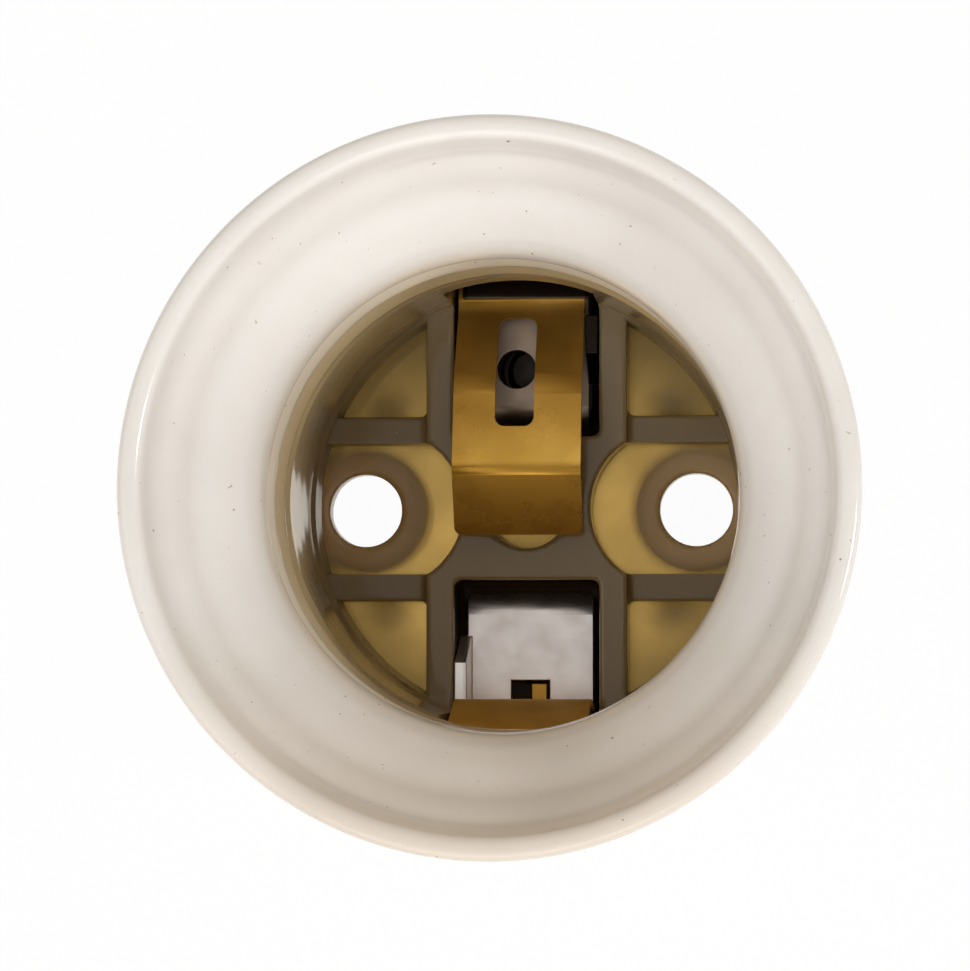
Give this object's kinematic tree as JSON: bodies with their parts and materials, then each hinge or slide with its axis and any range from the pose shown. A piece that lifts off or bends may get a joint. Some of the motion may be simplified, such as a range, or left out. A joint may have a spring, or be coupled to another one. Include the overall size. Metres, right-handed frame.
{
  "type": "lamp holder",
  "caption": "One-piece porcelain lamp holder with a belled mouth, screw bore, sprung brass contacts and rear screw terminals.",
  "frame": {"origin": "centre of the rear face, on the axis of the lamp bore", "axes": "+Z along the bore out of the mouth; the two fixing holes lie along X; the centre contact is rooted on the +Y side and the side contact stands on the -Y side"},
  "size_m": [0.037, 0.037, 0.042],
  "materials": {
    "porcelain": "glossy",
    "steel": "nickel-plated, worn",
    "brass": "tarnished",
    "screw": "zinc-plated"
  },
  "bodies": {
    "holder": {"body": "porcelain", "centre_terminal": "steel", "side_terminal": "steel"},
    "centre_leaf": {"centre_contact": "brass"},
    "side_leaf": {"side_contact": "brass"},
    "centre_saddle": {"centre_clamp": "steel"},
    "side_saddle": {"side_clamp": "steel"},
    "centre_screw": {"centre_terminal_screw": "screw"},
    "side_screw": {"side_terminal_screw": "screw"}
  },
  "joints": [
    {"name": "centre_contact_spring", "type": "hinge", "parent": "holder", "child": "centre_leaf", "pos_m": [0, 0.012, 0.0141], "axis": [1, 0, 0], "range_deg": [0, 4], "stiffness_Nm_per_rad": 0.4},
    {"name": "side_contact_spring", "type": "hinge", "parent": "holder", "child": "side_leaf", "pos_m": [0, -0.012, 0.0141], "axis": [1, 0, 0], "range_deg": [0, 7], "stiffness_Nm_per_rad": 0.4},
    {"name": "centre_clamp_slide", "type": "slide", "parent": "holder", "child": "centre_saddle", "axis": [0, 0, -1], "range_m": [0, 0.0015]},
    {"name": "centre_screw_turn", "type": "hinge", "parent": "centre_saddle", "child": "centre_screw", "pos_m": [0, 0.0082, 0.0082], "axis": [0, 0, -1], "range_deg": [0, 1080]},
    {"name": "side_clamp_slide", "type": "slide", "parent": "holder", "child": "side_saddle", "axis": [0, 0, -1], "range_m": [0, 0.0015]},
    {"name": "side_screw_turn", "type": "hinge", "parent": "side_saddle", "child": "side_screw", "pos_m": [0, -0.0082, 0.0082], "axis": [0, 0, -1], "range_deg": [0, 1080]}
  ],
  "couplings": [
    {"joint": "centre_screw_turn", "follows": "centre_clamp_slide", "rad_per_m": 12566},
    {"joint": "side_screw_turn", "follows": "side_clamp_slide", "rad_per_m": 12566}
  ]
}
